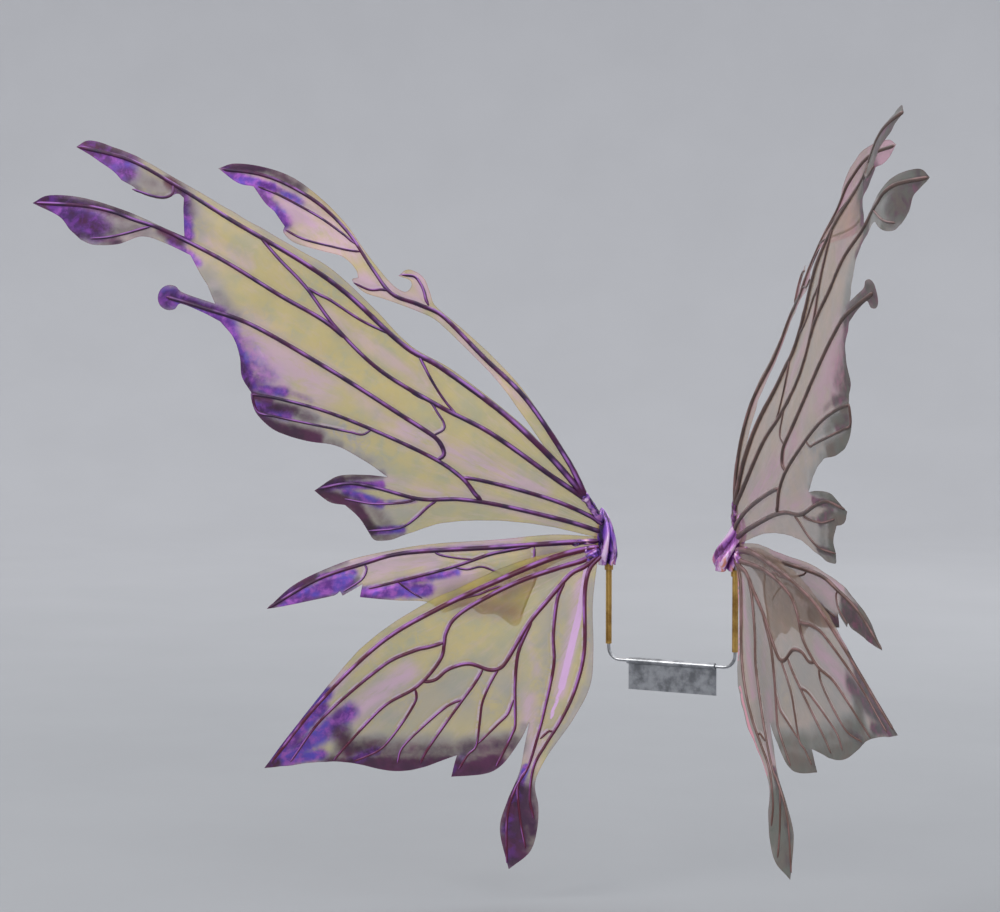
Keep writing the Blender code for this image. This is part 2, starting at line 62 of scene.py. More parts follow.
# --- patterns (mm) ---
SHARP = True
FORE_OUTLINE = [
    (12, 30, SHARP), (31, 58), (63, 112), (98, 167), (132, 207), (167, 240), (199, 268), (205, 284),
    (213, 301), (230, 309), (242, 302, SHARP), (229, 297), (227, 290), (235, 284), (250, 293),
    (276, 327), (299, 362), (328, 391), (362, 416), (397, 429), (431, 434), (450, 429, SHARP),
    (426, 412), (407, 407, SHARP), (393, 388), (382, 378, SHARP), (369, 361, SHARP), (370, 354),
    (357, 342), (328, 332), (305, 324), (291, 309), (289, 301, SHARP), (296, 298), (282, 284),
    (259, 276), (221, 262), (199, 251), (167, 221), (132, 184), (101, 141), (77, 106, SHARP),
    (98, 128), (138, 162), (184, 197), (230, 224), (276, 271), (322, 313), (380, 347), (437, 380),
    (497, 414), (541, 440), (582, 457), (602, 461), (616, 454, SHARP), (596, 442), (575, 427),
    (564, 415, SHARP), (551, 408, SHARP), (538, 398), (515, 393), (500, 399), (492, 394, SHARP),
    (493, 367), (493, 351, SHARP), (514, 360), (558, 380), (610, 397), (650, 401), (669, 393, SHARP),
    (638, 377), (626, 362, SHARP), (613, 350, SHARP), (598, 344), (570, 344), (543, 352), (518, 345),
    (486, 330, SHARP), (476, 311), (466, 296, SHARP), (457, 275, SHARP), (483, 284), (497, 290),
    (503, 296), (512, 297), (520, 292), (523, 283), (520, 274), (512, 269), (503, 270), (497, 276),
    (472, 266), (451, 255, SHARP), (436, 237), (428, 215), (425, 192), (414, 174, SHARP), (413, 163),
    (406, 148), (385, 130), (351, 118), (316, 112), (282, 94), (255, 75, SHARP), (285, 78),
    (313, 76), (338, 60, SHARP), (321, 47), (302, 43, SHARP), (285, 28), (273, 10, SHARP), (265, 1),
    (247, 2), (224, 10), (190, 20), (150, 23), (104, 21), (63, 14), (12, 2, SHARP)]

MID_OUTLINE = [
    (12, 3, SHARP), (63, 6), (127, 1), (196, -3), (241, -9), (299, -22), (357, -47), (393, -77, SHARP),
    (374, -74), (314, -62), (307, -57, SHARP), (304, -62, SHARP), (293, -56), (281, -49, SHARP),
    (284, -64, SHARP), (241, -68), (207, -70), (187, -83, SHARP), (161, -75), (145, -84), (127, -85),
    (108, -98), (99, -92), (92, -67), (69, -32), (12, -10, SHARP)]

HIND_OUTLINE = [
    (14, -6, SHARP), (81, -17), (127, -31), (172, -51), (213, -69), (276, -109), (322, -159),
    (368, -219), (397, -261, SHARP), (368, -259), (333, -255), (299, -255), (247, -265), (213, -261),
    (173, -246, SHARP), (176, -257), (179, -271, SHARP), (144, -267), (124, -256), (104, -228),
    (94, -207, SHARP), (99, -233), (105, -264), (118, -297), (126, -330), (117, -375, SHARP),
    (95, -354), (87, -329), (85, -302), (88, -275), (75, -245), (46, -202), (27, -165), (22, -124),
    (21, -70), (14, -20, SHARP)]

# Ribs that stand on a CAD wire: CAD node, root radius, tip radius, path.
FORE_RIBS = [
    ("spar_leading", 3.4, 1.9,
     [(10, 22), (28, 46), (44, 66), (75, 100), (127, 148), (196, 199), (228, 217), (253, 237),
      (305, 285), (357, 322), (437, 369), (499, 407), (552, 437), (604, 452), (614, 454)]),
    ("spar_streamer", 3.0, 1.6,
     [(12, 26), (29, 50), (38, 68), (52, 93), (98, 161), (144, 208), (190, 255), (218, 269),
      (250, 282), (271, 310), (297, 352), (328, 383), (366, 407), (402, 421), (445, 428)]),
    ("spar_lower", 2.6, 1.7,
     [(8, 8), (34, 17), (58, 24), (127, 41), (172, 48), (217, 49), (265, 62), (299, 68), (334, 62)]),
    ("wire_hook", 2.0, 1.4,
     [(207, 268), (210, 275), (212, 284), (216, 293), (223, 301), (238, 303)]),
    ("wire_median", 2.8, 1.6,
     [(28, 46), (37, 52), (69, 74), (138, 123), (196, 154), (265, 196), (316, 245), (351, 292),
      (380, 323), (402, 349)]),
    ("wire_finger", 2.2, 1.7,
     [(305, 233), (333, 255), (380, 282), (449, 324), (518, 359), (552, 371), (575, 380), (610, 388),
      (664, 393)]),
    ("wire_trailing", 2.3, 1.5,
     [(146, 46), (154, 54), (169, 72), (200, 94), (264, 125), (328, 151), (385, 167), (414, 172)]),
    ("wire_knob", 2.3, 2.0,
     [(199, 94), (193, 97), (191, 102), (196, 113), (205, 122), (242, 146), (322, 197), (414, 250),
      (472, 271), (513, 284)]),
    ("wire_inner", 2.4, 1.9,
     [(9, 17), (21, 26), (58, 43), (104, 58), (150, 70), (169, 73)])]

MID_RIBS = [
    ("wire_mid_upper", 2.8, 1.7,
     [(11, -2), (58, -4), (127, -8), (213, -12), (247, -16), (278, -25), (333, -43), (391, -76)]),
    ("wire_mid_lower", 2.0, 1.3,
     [(86, -7), (115, -12), (138, -17), (173, -29), (219, -41), (274, -54)])]

HIND_RIBS = [
    ("wire_hind_front", 3.2, 1.7,
     [(13, -8), (40, -13), (69, -21), (115, -39), (196, -75), (265, -115), (334, -182), (389, -254)]),
    ("wire_hind_main", 2.8, 1.3,
     [(12, -12), (31, -23), (58, -31), (104, -46), (150, -68), (178, -87), (188, -104), (190, -118),
      (193, -133), (207, -153), (224, -169), (259, -190), (305, -241), (314, -253)]),
    ("wire_hind_fork", 2.1, 1.3,
     [(190, -115), (207, -120), (224, -124), (259, -140), (328, -200), (366, -254)]),
    ("wire_hind_centre", 2.6, 1.7,
     [(11, -14), (28, -29), (46, -39), (71, -67), (94, -95), (118, -136), (126, -145), (138, -147),
      (161, -140), (184, -146), (199, -158), (214, -161)]),
    ("wire_hind_drop", 2.0, 1.3,
     [(90, -91), (98, -108), (106, -130), (109, -164), (109, -210), (113, -222), (130, -258)]),
    ("wire_hind_inner", 2.4, 1.3,
     [(9, -17), (24, -33), (30, -60), (32, -124), (43, -168), (58, -201), (76, -231), (89, -256),
      (94, -291), (90, -316)]),
    ("wire_hind_streamer", 2.0, 1.1,
     [(52, -45), (61, -67), (66, -107), (66, -141), (77, -193), (84, -220), (95, -256), (109, -282),
      (118, -314), (119, -368)])]

# Fine branches with no wire of their own in the CAD: root radius, path.
FORE_FINE = [
    (1.4, [(290, 339), (297, 345), (305, 352), (328, 369), (357, 386), (380, 398), (402, 407)]),
    (1.4, [(252, 285), (262, 287), (276, 287), (294, 295)]),
    (1.4, [(284, 330), (298, 332), (311, 335), (345, 345), (368, 357)]),
    (1.6, [(351, 292), (336, 283), (322, 276), (287, 253), (252, 236)]),
    (1.6, [(222, 216), (214, 200), (204, 181), (191, 161), (176, 143)]),
    (1.4, [(232, 173), (221, 166), (207, 159), (199, 147), (192, 136), (192, 128), (205, 121)]),
    (1.4, [(414, 173), (406, 152), (385, 146), (345, 137), (299, 127), (285, 124), (274, 130)]),
    (1.4, [(220, 49), (236, 45), (270, 44), (303, 50)]),
    (1.6, [(196, 48), (207, 40), (218, 29), (232, 18), (247, 14), (274, 12)]),
    (1.4, [(504, 410), (505, 399), (515, 395), (529, 397), (552, 405)]),
    (1.4, [(532, 363), (545, 360), (560, 356), (581, 352), (602, 351)])]
MID_FINE = [
    (1.2, [(200, -11), (192, -16), (172, -20), (152, -22)]),
    (1.2, [(176, -30), (161, -33), (145, -30), (132, -34), (120, -40), (104, -52)]),
    (1.2, [(280, -25), (276, -32), (282, -44), (304, -58)]),
    (1.4, [(84, -8), (84, -26), (83, -44), (90, -62), (100, -88)]),
    (1.1, [(240, -47), (228, -56), (212, -66)])]
HIND_FINE = [
    (1.4, [(126, -51), (138, -55), (150, -60), (163, -63), (176, -67)]),
    (1.4, [(222, -168), (221, -182), (236, -209), (255, -235), (267, -244), (290, -254)]),
    (1.6, [(145, -146), (154, -162), (170, -185), (187, -210), (207, -241), (214, -256)]),
    (1.4, [(167, -181), (178, -185), (189, -192), (213, -214), (235, -238), (240, -256)]),
    (1.4, [(126, -143), (135, -159), (141, -172), (146, -187), (148, -205), (152, -235), (161, -245),
           (171, -262)]),
    (1.4, [(111, -181), (117, -197), (127, -208), (150, -232)]),
    (1.4, [(99, -262), (105, -274), (107, -285), (104, -320), (99, -350)]),
    (1.4, [(82, -225), (76, -219), (72, -216), (66, -217)])]

# Local bends of the forewing (same as the CAD's): centre, reach, depth.
FORE_BENDS = [(520, 400, 110, -17), (340, 300, 90, -7), (665, 393, 50, 8), (520, 280, 60, 6),
              (450, 300, 50, -5), (235, 305, 40, -6), (150, 215, 60, 5)]
LEAF_BASE, LEAF_ANGLE = (290, 340), 29.4
LEAF_SHIFT, LEAF_TWIST, LEAF_RAMP, LEAF_EDGE = 8.0, -0.85, 70.0, -32.0
FORE_TWISTS = [(95, -40, 120, 38, -15.5), (205, -94, 85, 32, 8), (195, 4, 55, 60, 16),
               (12, 14, 50, 50, -5), (290, -60, 90, 34, -8)]
TWIST_SLIP = 0.19        # how far a twist of 1 mm draws the film inwards

# Strokes of ink and tint: mask, from, to, radius, strength (1 if left out).
FORE_PAINT = [
    # upper leaf
    ("dark", (618, 455), (592, 450), 13), ("violet", (600, 450), (562, 428), 20),
    ("dark", (592, 444), (552, 418), 11, 0.55), ("dark", (598, 460), (545, 440), 10, 0.7),
    ("grey", (560, 446), (480, 404), 12),
    ("dark", (508, 412), (498, 404), 9), ("dark", (548, 400), (512, 396), 5, 0.35),
    ("grey", (560, 424), (512, 404), 18), ("dark", (566, 414), (545, 404), 7, 0.5),
    ("dark", (556, 424), (520, 408), 14, 0.4),
    # lower leaf
    ("dark", (672, 393), (645, 392), 12), ("dark", (650, 400), (560, 377), 10, 0.8),
    ("grey", (570, 386), (500, 352), 10),
    ("violet", (655, 392), (600, 366), 22), ("dark", (622, 376), (588, 362), 20, 0.75),
    ("dark", (625, 358), (568, 346), 8, 0.75), ("grey", (585, 366), (528, 356), 18),
    ("dark", (580, 364), (540, 356), 15, 0.45),
    ("dark", (518, 359), (500, 346), 9), ("violet", (508, 346), (478, 322), 8, 0.8),
    # free edge from the leaves to the long finger's notch
    ("dark", (496, 398), (486, 380), 13, 0.6), ("violet", (496, 396), (490, 352), 11),
    ("grey", (482, 388), (474, 350), 17, 0.9), ("grey", (470, 312), (448, 276), 14),
    ("dark", (456, 284), (432, 262), 10, 0.35),
    # knob and its finger
    ("dark", (512, 283), (509, 282), 13, 0.7), ("violet", (513, 283), (508, 282), 17),
    ("violet", (502, 281), (452, 262), 11), ("dark", (492, 280), (450, 266), 6, 0.7),
    # bright violet edge below the knob
    ("violet", (446, 250), (420, 184), 17), ("violet", (428, 222), (402, 190), 24, 0.62),
    ("violet", (418, 180), (376, 174), 9, 0.8), ("dark", (428, 214), (416, 178), 5, 0.8),
    ("pink", (422, 238), (385, 196), 26), ("pink", (396, 222), (335, 178), 24, 0.8),
    # painted highlight strip
    ("painted_gleam", (408, 226), (396, 206), 5, 0.42),
    ("violet", (378, 176), (345, 164), 5, 0.5),
    # trailing lobe
    ("dark", (414, 172), (392, 163), 7), ("violet", (411, 160), (372, 148), 8),
    ("dark", (396, 160), (362, 152), 8, 0.85), ("dark", (364, 152), (342, 142), 9, 0.6),
    ("dark", (404, 146), (386, 132), 10), ("dark", (388, 132), (338, 120), 12),
    ("grey", (350, 146), (292, 122), 14), ("dark", (338, 120), (312, 112), 8, 0.5),
    ("dark", (306, 106), (278, 92), 8, 0.34), ("grey", (310, 112), (262, 84), 12, 0.8),
    # small trailing lobe
    ("dark", (338, 61), (306, 72), 8), ("dark", (316, 72), (262, 78), 6, 0.75),
    ("violet", (328, 66), (262, 66), 6), ("dark", (332, 58), (300, 46), 10),
    ("violet", (302, 58), (262, 44), 7, 0.9), ("dark", (292, 44), (270, 12), 10, 0.95),
    ("dark", (270, 38), (252, 16), 12, 0.5), ("violet", (276, 12), (236, 14), 6),
    ("dark", (268, 4), (236, 6), 7, 0.6), ("pink", (258, 70), (196, 56), 7, 0.7),
    ("violet", (252, 46), (222, 47), 4, 0.6), ("grey", (250, 34), (224, 34), 10, 0.6),
    # film between the ribs
    ("gold", (480, 352), (330, 262), 24, 0.6), ("gold", (420, 262), (250, 168), 26),
    ("gold", (300, 128), (190, 96), 26), ("gold", (220, 84), (120, 58), 18, 0.6),
    ("gold", (360, 312), (210, 200), 16, 0.8), ("gold", (200, 160), (100, 80), 14, 0.6),
    ("pink", (462, 344), (420, 318), 9, 0.55), ("pink", (330, 262), (215, 180), 9, 0.5),
    ("pink", (240, 130), (80, 56), 12, 0.8), ("pink", (300, 176), (236, 118), 10, 0.4),
    ("pink", (196, 256), (96, 150), 6, 0.6), ("pink", (180, 60), (60, 20), 8, 0.45),
    ("grey", (492, 414), (380, 346), 6, 0.8), ("grey", (380, 346), (200, 220), 6, 0.8),
    # streamer's hook
    ("pink", (286, 300), (220, 270), 11, 0.9), ("pink", (218, 302), (211, 280), 9),
    ("violet", (240, 304), (222, 300), 3, 0.5)]
STREAMER_PAINT = {
    "left": [
        ("grey", (452, 429), (447, 428), 6), ("dark", (440, 431), (396, 429), 9),
        ("dark", (396, 429), (352, 404), 8, 0.7), ("violet", (440, 422), (386, 404), 9),
        ("violet", (390, 408), (352, 388), 7, 0.75), ("violet", (430, 413), (400, 398), 8),
        ("violet", (400, 396), (372, 366), 12), ("dark", (404, 404), (384, 386), 6, 0.5),
        ("pink", (368, 386), (300, 334), 20), ("pink", (368, 352), (300, 318), 8, 0.6),
        ("gold", (352, 402), (298, 350), 11), ("grey", (392, 424), (340, 400), 5, 0.5)],
    "right": [
        ("pink", (440, 424), (330, 366), 30), ("pink", (366, 352), (290, 316), 16),
        ("violet", (400, 404), (372, 376), 16, 0.9)]}
MID_PAINT = [
    ("pink", (330, -28), (100, 2), 5), ("dark", (392, -76), (338, -38), 7, 0.95),
    ("dark", (334, -32), (300, -22), 5, 0.6), ("violet", (372, -68), (300, -46), 13),
    ("violet", (330, -42), (292, -36), 8, 0.8), ("dark", (350, -68), (300, -62), 4, 0.7),
    ("dark", (300, -58), (286, -42), 4, 0.6), ("pink", (272, -34), (200, -26), 14, 0.75),
    ("grey", (270, -24), (200, -18), 10, 0.7), ("violet", (282, -60), (206, -56), 10),
    ("violet", (240, -48), (172, -36), 6, 0.85), ("dark", (286, -64), (262, -66), 5, 0.7),
    ("pink", (204, -52), (158, -38), 10, 0.9), ("gold", (176, -56), (122, -30), 8, 0.9),
    # The smoke strokes paint shade on the mid panel's lower part near the root.
    ("gold", (150, -14), (40, -2), 9, 0.9), ("smoke", (176, -66), (92, -62), 22),
    ("smoke", (120, -76), (66, -22), 20, 0.9), ("violet", (210, -10), (110, -6), 4, 0.5)]
HIND_PAINT = [
    # leading edge and tip
    ("pink", (306, -150), (330, -180), 7), ("violet", (326, -172), (390, -252), 9),
    ("violet", (330, -190), (384, -252), 9, 0.9), ("violet", (300, -196), (372, -252), 15, 0.9),
    ("violet", (330, -246), (372, -252), 10, 0.9), ("dark", (398, -260), (382, -256), 7),
    ("pink", (232, -150), (330, -222), 13), ("pink", (262, -112), (306, -152), 5, 0.5),
    # smoky hem
    ("dark", (308, -218), (296, -244), 14, 0.85), ("dark", (300, -240), (262, -238), 16, 0.8),
    ("dark", (316, -260), (176, -258), 16), ("dark", (280, -244), (186, -242), 20, 0.62),
    ("violet", (294, -254), (264, -240), 6), ("dark", (178, -268), (130, -254), 18),
    ("dark", (166, -240), (112, -232), 16, 0.7), ("violet", (180, -268), (166, -246), 6, 0.6),
    ("dark", (106, -236), (100, -212), 7, 0.4),
    # streamer
    ("pink", (94, -180), (92, -250), 9, 0.8), ("dark", (106, -292), (112, -356), 24),
    ("dark", (96, -300), (92, -330), 12, 0.9), ("violet", (98, -258), (120, -330), 5),
    ("grey", (90, -262), (88, -300), 6, 0.8), ("violet", (120, -372), (110, -340), 8, 0.5),
    # film between the ribs
    # The first two pink strokes are a painted highlight: a bright strip between the inner ribs.
    ("pink", (35, -46), (45, -104), 6), ("pink", (45, -104), (60, -172), 7),
    ("pink", (84, -150), (96, -110), 5, 0.35), ("grey", (23, -50), (26, -160), 7),
    ("grey", (30, -168), (70, -236), 7), ("gold", (290, -140), (170, -86), 22, 0.9),
    ("gold", (180, -130), (120, -76), 20, 0.8), ("gold", (90, -110), (80, -200), 12, 0.8),
    ("gold", (240, -180), (200, -130), 16, 0.6), ("grey", (270, -190), (120, -170), 44, 0.75),
    ("grey", (60, -70), (84, -210), 22, 0.8), ("gold", (60, -96), (76, -190), 9, 0.8),
    # The smoke stroke is painted shade at the root.
    ("gold", (150, -170), (120, -200), 14, 0.8), ("smoke", (70, -36), (20, -14), 9, 0.6)]
# Per side: bright strips that are painted highlights, and smoke strokes that are painted shade near the
# root; the right wing's broad smoke paints in the darkness of a dark body seen through the film there,
# and its shadow.
HIND_HIGHLIGHT_AND_SHADE = {
    "left": [("painted_gleam", (27, -30), (38, -88), 3.4), ("painted_gleam", (38, -88), (58, -166), 4.2),
             ("painted_gleam", (58, -166), (70, -200), 2.0, 0.9), ("smoke", (172, -72), (112, -80), 12, 0.6),
             ("smoke", (120, -58), (80, -34), 13, 0.5)],
    "right": [("painted_gleam", (20, -30), (24, -130), 2.2), ("painted_gleam", (28, -160), (50, -204), 2.2),
              ("painted_gleam", (50, -204), (84, -262), 2.2), ("painted_gleam", (88, -275), (88, -326), 2.2),
              ("smoke", (230, -110), (60, -30), 40, 0.6), ("smoke", (70, -60), (90, -200), 26, 0.5)]}
# Masks: ink and tint, except the last two, which are painted light: shade at the wing roots and
# highlight strips.
MASKS = ("dark", "violet", "pink", "gold", "grey", "smoke", "painted_gleam")
LIT_FROM = Vector((0.7, 0.7))            # side of a rib that catches the light, in the pattern


# --- surfaces ---
def smooth_step(t):
    t = max(0.0, min(1.0, t))
    return t * t * (3 - 2 * t)


def leaf_frame(u, h):
    """Distances along and across the streamer leaf's own rib (mm)."""
    cos, sin = math.cos(math.radians(LEAF_ANGLE)), math.sin(math.radians(LEAF_ANGLE))
    along = (u - LEAF_BASE[0]) * cos + (h - LEAF_BASE[1]) * sin
    across = (h - LEAF_BASE[1]) * cos - (u - LEAF_BASE[0]) * sin
    return along, across


def fore_twist(u, h):
    """Local twists of the forewing's outer half (mm), laid out in the streamer leaf's frame."""
    along, across = leaf_frame(u, h)
    return sum(depth * math.exp(-((along - centre_along) / reach_along) ** 2
                                - ((across - centre_across) / reach_across) ** 2)
               for centre_along, centre_across, reach_along, reach_across, depth in FORE_TWISTS)


def nothing(*place):
    """No twist, or no camber."""
    return 0.0


def fore_camber(r, v, u, h):
    height = (-34.1 * v - 4.5 * r * r + 2.3 * r * v + 10.6 * v * v
              + 1.24 * r ** 3 - 2.71 * r * r * v + 0.95 * r * v * v)
    for centre_u, centre_h, reach, depth in FORE_BENDS:
        height += depth * math.exp(-((u - centre_u) ** 2 + (h - centre_h) ** 2) / reach ** 2)
    along, across = leaf_frame(u, h)
    if across > LEAF_EDGE:
        height += (LEAF_SHIFT + LEAF_TWIST * across) * smooth_step(along / LEAF_RAMP)
    return height


def hind_camber(r, v, u, h):
    return (HIND_LIFT + 9.4 * v - 1.3 * r * r - 9.4 * r * v - 1.1 * v * v
            - 0.61 * r ** 3 - 0.18 * r * r * v + 0.3 * r * v * v)


class Panel:
    """A film panel's flat pattern carried onto its swept, cambered surface."""

    def __init__(self, side, sweep, camber, twist=nothing, fan=0.0):
        self.side = SIDES[side]
        self.sweep = math.radians(sweep)
        self.fan = math.radians(fan)
        self.camber = camber
        self.twist = twist

    def point(self, u, h, lift=0.0):
        if lift:
            return self.point(u, h) + self.normal(u, h) * (lift * MM)
        r = u * (1.08 - 0.00014 * u)
        v = h * (1.03 - 0.000125 * u) + 0.012 * u
        shift = self.twist(u, h)
        c = self.camber(r / 100.0, v / 100.0, u, h) + shift
        out = r * math.cos(self.fan) - v * math.sin(self.fan) - TWIST_SLIP * shift
        up = r * math.sin(self.fan) + v * math.cos(self.fan)
        x = STEM_X + out * math.cos(self.sweep) + c * math.sin(self.sweep)
        y = -out * math.sin(self.sweep) + c * math.cos(self.sweep)
        return Vector((self.side * x, y + ROOT.y, up + ROOT.z)) * MM

    def normal(self, u, h):
        """Unit normal facing the rear."""
        along = self.point(u + 0.5, h) - self.point(u - 0.5, h)
        upward = self.point(u, h + 0.5) - self.point(u, h - 0.5)
        normal = along.cross(upward).normalized()
        return -normal if normal.y > 0 else normal

    def frame(self, path, i):
        """Centre, normal and across direction at point i of a flat path."""
        p = path[i]
        ahead, behind = path[min(i + 1, len(path) - 1)], path[max(i - 1, 0)]
        normal = self.normal(p.x, p.y)
        along = (self.point(ahead.x, ahead.y) - self.point(behind.x, behind.y)).normalized()
        return self.point(p.x, p.y), normal, along.cross(normal).normalized()


# --- curves ---
def smooth_curve(points, closed, step):
    """Points about a step apart on a curve through the given ones, cornering at the sharp ones."""
    count = len(points)
    flat = [Vector(p[:2]) for p in points]
    sharp = [len(p) > 2 for p in points]

    def tangent(i, j):
        before, after = i - 1, i + 1
        if sharp[i] or (not closed and (before < 0 or after >= count)):
            return (flat[j % count] - flat[i]) * (1 if j > i else -1)
        return (flat[after % count] - flat[before % count]) * 0.5

    curve = []
    for i in range(count if closed else count - 1):
        j = (i + 1) % count
        start, end = flat[i], flat[j]
        t0 = tangent(i, i + 1)
        t1 = tangent(j, j - 1) if j else tangent(0, -1)
        length = (end - start).length
        t0 = t0 * min(1.0, 1.2 * length / max(t0.length, 1e-6))
        t1 = t1 * min(1.0, 1.2 * length / max(t1.length, 1e-6))
        steps = max(1, round(length / step))
        for k in range(steps):
            t = k / steps
            a = (1 + 2 * t) * (1 - t) ** 2
            b = t * (1 - t) ** 2
            c = t * t * (3 - 2 * t)
            d = t * t * (t - 1)
            curve.append(start * a + t0 * b + end * c + t1 * d)
    if not closed:
        curve.append(flat[-1])
    return curve


def inside(points, outline):
    """Which of the points (n x 2) lie inside the outline."""
    result = np.zeros(len(points), dtype=bool)
    for i, a in enumerate(outline):
        b = outline[i - 1]
        spans = (a.y > points[:, 1]) != (b.y > points[:, 1])
        if spans.any():
            crossing = (b.x - a.x) * (points[:, 1] - a.y) / (b.y - a.y) + a.x
            result ^= spans & (points[:, 0] < crossing)
    return result


def gap_to_segment(points, start, end):
    """Distance of each point (n x 2) from the segment."""
    start, chord = np.array(start, float), np.array(end, float) - np.array(start, float)
    along = ((points - start) @ chord) / max(chord @ chord, 1e-9)
    nearest = start + np.clip(along, 0.0, 1.0)[:, None] * chord
    return np.linalg.norm(points - nearest, axis=1)


def tree_of(paths):
    points = [p for path in paths for p in path]
    tree = kdtree.KDTree(len(points))
    for i, p in enumerate(points):
        tree.insert((p.x, p.y, 0.0), i)
    tree.balance()
    return tree


# --- material nodes ---
class Nodes:
    """Small helper that adds and links shader nodes."""

    def __init__(self, name):
        self.material = bpy.data.materials.new(name)
        self.material.use_nodes = True
        self.tree = self.material.node_tree
        self.shader = self.tree.nodes["Principled BSDF"]

    def add(self, kind, **values):
        node = self.tree.nodes.new(kind)
        for key, value in values.items():
            setattr(node, key, value)
        return node

    def link(self, source, target):
        self.tree.links.new(source, target)

    def attribute(self, name, output="Fac"):
        return self.add("ShaderNodeAttribute", attribute_name=name).outputs[output]

    def noise(self, vector, scale, detail=4.0, roughness=0.55, distortion=0.0, stretch=None):
        if stretch:
            mapping = self.add("ShaderNodeMapping")
            mapping.inputs["Scale"].default_value = stretch
            self.link(vector, mapping.inputs["Vector"])
            vector = mapping.outputs["Vector"]
        node = self.add("ShaderNodeTexNoise")
        for key, value in (("Scale", scale), ("Detail", detail), ("Roughness", roughness),
                           ("Distortion", distortion)):
            node.inputs[key].default_value = value
        self.link(vector, node.inputs["Vector"])
        return node.outputs["Fac"]

    def map_range(self, value, end, low, high, **settings):
        node = self.add("ShaderNodeMapRange", **settings)
        node.inputs[end + " Min"].default_value = low
        node.inputs[end + " Max"].default_value = high
        self.link(value, node.inputs["Value"])
        return node.outputs["Result"]

    def ramp(self, value, low, high):
        """Smooth 0..1 as the value goes from low to high."""
        return self.map_range(value, "From", low, high, interpolation_type="SMOOTHSTEP")

    def span(self, value, low, high):
        """The value 0..1 carried to low..high."""
        return self.map_range(value, "To", low, high)

    def math(self, operation, a, b=None):
        node = self.add("ShaderNodeMath", operation=operation)
        for socket, value in zip(node.inputs, (a, b)):
            if value is None:
                continue
            if isinstance(value, (int, float)):
                socket.default_value = value
            else:
                self.link(value, socket)
        return node.outputs["Value"]

    def times(self, a, b):
        return self.math("MULTIPLY", a, b)

    def mix(self, factor, a, b):
        """Colour mix; a and b are colours or sockets."""
        node = self.add("ShaderNodeMix", data_type="RGBA")
        self.link(factor, node.inputs["Factor"])
        for socket, value in ((node.inputs[6], a), (node.inputs[7], b)):
            if isinstance(value, tuple):
                socket.default_value = (*value, 1.0)
            else:
                self.link(value, socket)
        return node.outputs[2]

    def bump(self, height, strength, distance):
        node = self.add("ShaderNodeBump")
        node.inputs["Strength"].default_value = strength
        node.inputs["Distance"].default_value = distance
        self.link(height, node.inputs["Height"])
        self.link(node.outputs["Normal"], self.shader.inputs["Normal"])

    def set(self, **values):
        for key, value in values.items():
            socket = self.shader.inputs[key.replace("_", " ")]
            if hasattr(value, "is_output"):
                self.link(value, socket)
            else:
                socket.default_value = (*value, 1.0) if isinstance(value, tuple) else value


def srgb(red, green, blue):
    """Linear colour of an 8-bit sRGB one."""
    def channel(value):
        value /= 255.0
        return value / 12.92 if value <= 0.04045 else ((value + 0.055) / 1.055) ** 2.4
    return (channel(red), channel(green), channel(blue))


# Colours of each side's film and ribs. The right wing has the muted tones that the film shows edge on,
# a painted edge-on reflection; the colours for the lines beside the ribs, the ribs' lit side and the
# bright strips are painted highlights, and smoke is painted shade at the roots.
PALETTES = {
    "left": {
        "film": (204, 184, 66), "film_cool": (170, 168, 94), "streak": (214, 184, 136),
        "gold": (208, 184, 40), "grey": (140, 138, 132), "band": (188, 162, 52),
        "pink": (214, 168, 194), "smoke": (112, 44, 66), "painted_gleam": (238, 178, 242),
        "violet": (96, 40, 144), "violet_blue": (92, 78, 200), "violet_rose": (172, 94, 200),
        "dark": (34, 16, 44), "dark_warm": (72, 24, 62), "painted_glint": (220, 180, 222),
        "rib": (78, 8, 66), "rib_deep": (44, 8, 56), "rib_warm": (94, 10, 42),
        "rib_highlight": (186, 120, 216)},
    "right": {
        "film": (168, 140, 118), "film_cool": (152, 134, 120), "streak": (182, 148, 136),
        "gold": (156, 136, 108), "grey": (110, 110, 104), "band": (132, 106, 88),
        "pink": (178, 122, 144), "smoke": (74, 46, 36), "painted_gleam": (222, 128, 150),
        "violet": (92, 80, 86), "violet_blue": (98, 94, 96), "violet_rose": (136, 88, 112),
        "dark": (106, 108, 102), "dark_warm": (112, 102, 96), "painted_glint": (176, 156, 154),
        "rib": (90, 66, 60), "rib_deep": (74, 56, 52), "rib_warm": (96, 62, 52),
        "rib_highlight": (144, 106, 106)}}


FILM_IOR = {"left": 1.45, "right": 1.25}
SHIMMER = {"left": 325.0, "right": 0.0}       # thickness of the interference coat (nm)
# Wrap colours per side: painted fold shade, body colour, painted highlight.
WRAP_TONES = {"left": ((44, 14, 70), (120, 68, 196), (220, 160, 240)),
              "right": ((110, 50, 110), (170, 100, 196), (226, 156, 232))}


